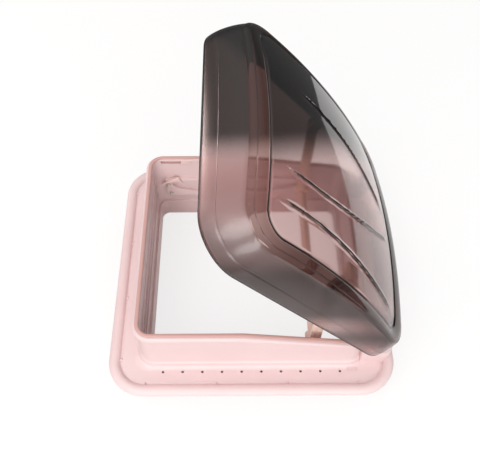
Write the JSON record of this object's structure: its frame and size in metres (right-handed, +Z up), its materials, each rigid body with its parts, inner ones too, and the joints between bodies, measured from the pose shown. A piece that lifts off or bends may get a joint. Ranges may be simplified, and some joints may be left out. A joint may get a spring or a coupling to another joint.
{
  "type": "caravan roof vent",
  "caption": "Square caravan roof vent: moulded flanged frame with a smoked dome lid that hinges up on stay arms and a crossbar in cam tracks.",
  "frame": {"origin": "centre of the flange on the roof plane, at the flange's underside", "axes": "+Z up out of the roof, +X towards the hinge side, +Y towards the back of the picture"},
  "size_m": [0.3705, 0.366, 0.3641],
  "materials": {
    "frame_plastic": "moulded satin",
    "seal_rubber": "soft matte",
    "smoked_acrylic": "clear gloss smoke tint",
    "stay_plastic": "moulded semi gloss",
    "latch_plastic": "moulded satin",
    "glide_nylon": "nylon",
    "zinc_steel": "zinc plated"
  },
  "bodies": {
    "frame": {"roof_frame": "frame_plastic", "rim_seal": "seal_rubber", "rim_clips": "latch_plastic", "guide_rail_front": "frame_plastic", "guide_rail_back": "frame_plastic", "guide_rail_screws": "zinc_steel", "hinge_block_front": "frame_plastic", "hinge_block_back": "frame_plastic", "hinge_block_screws": "zinc_steel", "hinge_pin_front": "zinc_steel", "hinge_pin_back": "zinc_steel", "latch_pin_front": "zinc_steel", "latch_pin_back": "zinc_steel"},
    "lid": {"lid_dome": "smoked_acrylic", "hinge_leaf_front": "frame_plastic", "hinge_leaf_back": "frame_plastic", "hinge_leaf_screws": "zinc_steel", "stay_bracket_front": "stay_plastic", "stay_bracket_back": "stay_plastic", "stay_bracket_screws": "zinc_steel", "stay_pin_front": "zinc_steel", "stay_pin_back": "zinc_steel"},
    "stay": {"stay_arm_front": "stay_plastic", "stay_arm_back": "stay_plastic", "stay_crossbar": "stay_plastic", "crossbar_collar_front": "stay_plastic", "crossbar_collar_back": "stay_plastic", "glide_front": "glide_nylon", "glide_back": "glide_nylon"},
    "latch_front": {"latch_lever_front": "latch_plastic"},
    "latch_back": {"latch_lever_back": "latch_plastic"}
  },
  "joints": [
    {"name": "lid_hinge", "type": "hinge", "parent": "frame", "child": "lid", "pos_m": [0.168, 0, 0.041], "axis": [0, 1, 0], "range_deg": [-48.7, 0]},
    {"name": "stay_pivot", "type": "hinge", "parent": "lid", "child": "stay", "pos_m": [0.08258, 0, 0.16096], "axis": [0, 1, 0], "range_deg": [0, 125.27]},
    {"name": "latch_front_turn", "type": "hinge", "parent": "frame", "child": "latch_front", "pos_m": [-0.11793, -0.129, 0.034], "axis": [0, 1, 0], "range_deg": [0, 25]},
    {"name": "latch_back_turn", "type": "hinge", "parent": "frame", "child": "latch_back", "pos_m": [-0.11793, 0.129, 0.034], "axis": [0, 1, 0], "range_deg": [0, 25]}
  ],
  "couplings": [
    {"joint": "stay_pivot", "follows": "lid_hinge", "ratio": -2.572}
  ]
}
